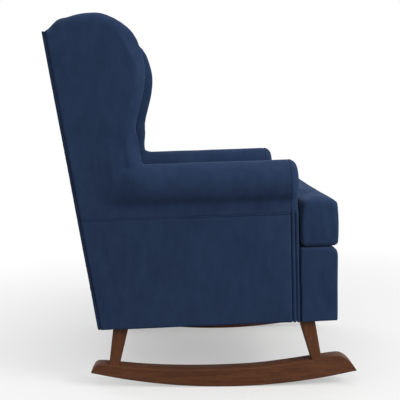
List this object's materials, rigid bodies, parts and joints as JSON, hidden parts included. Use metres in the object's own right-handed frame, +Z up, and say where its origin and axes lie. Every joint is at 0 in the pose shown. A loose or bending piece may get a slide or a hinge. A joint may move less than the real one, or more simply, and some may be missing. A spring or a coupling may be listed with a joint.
{
  "type": "wingback rocking chair",
  "caption": "Upholstered wingback rocking chair with rolled arms, a T-shaped loose seat cushion and bowed wooden rockers.",
  "frame": {"origin": "on the floor, under the middle of the overall width and the overall depth", "axes": "+Z up, -Y the way the seat faces, +X towards the left of a person sitting in the chair"},
  "size_m": [0.6998, 0.8501, 1.0186],
  "materials": {
    "velvet": "navy blue velvet with a short, faintly mottled pile",
    "walnut": "walnut-stained wood under a satin lacquer",
    "pine": "bare sawn softwood",
    "webbing": "woven elastic webbing",
    "lining": "black lining cloth",
    "steel": "zinc-plated steel"
  },
  "bodies": {
    "chair": {"arm_facing_left": "velvet", "arm_facing_right": "velvet", "arm_post_left": "pine", "arm_post_right": "pine", "arm_rail_left": "pine", "arm_rail_right": "pine", "back_post_left": "pine", "back_post_right": "pine", "back_seat_rail": "pine", "back_strap_1": "webbing", "back_strap_2": "webbing", "back_strap_3": "webbing", "back_strap_4": "webbing", "crest_rail": "pine", "deck_pad": "lining", "dust_cover": "lining", "front_border": "velvet", "front_box_side_left": "pine", "front_box_side_right": "pine", "front_corner_block_left": "pine", "front_corner_block_right": "pine", "front_hanger_bolt_left": "steel", "front_hanger_bolt_right": "steel", "front_leg_left": "walnut", "front_leg_plate_left": "steel", "front_leg_plate_right": "steel", "front_leg_right": "walnut", "front_rail": "pine", "front_rocker_screw_left": "steel", "front_rocker_screw_right": "steel", "inside_back": "velvet", "lumbar_rail": "pine", "outside_back": "velvet", "rear_corner_block_left": "pine", "rear_corner_block_right": "pine", "rear_hanger_bolt_left": "steel", "rear_hanger_bolt_right": "steel", "rear_leg_left": "walnut", "rear_leg_plate_left": "steel", "rear_leg_plate_right": "steel", "rear_leg_right": "walnut", "rear_rocker_screw_left": "steel", "rear_rocker_screw_right": "steel", "rocker_left": "walnut", "rocker_right": "walnut", "seat_strap_1": "webbing", "seat_strap_2": "webbing", "seat_strap_3": "webbing", "seat_strap_4": "webbing", "seat_strap_5": "webbing", "side_panel_left": "velvet", "side_panel_right": "velvet", "side_rail_left": "pine", "side_rail_right": "pine", "wing_and_arm_left": "velvet", "wing_and_arm_right": "velvet", "wing_board_left": "pine", "wing_board_right": "pine"},
    "seat_cushion": {"seat_cushion": "velvet"}
  },
  "joints": [
    {"name": "seat_cushion_lift", "type": "slide", "parent": "chair", "child": "seat_cushion", "axis": [0, 0.0332, 0.9995], "range_m": [0, 0.25]}
  ]
}
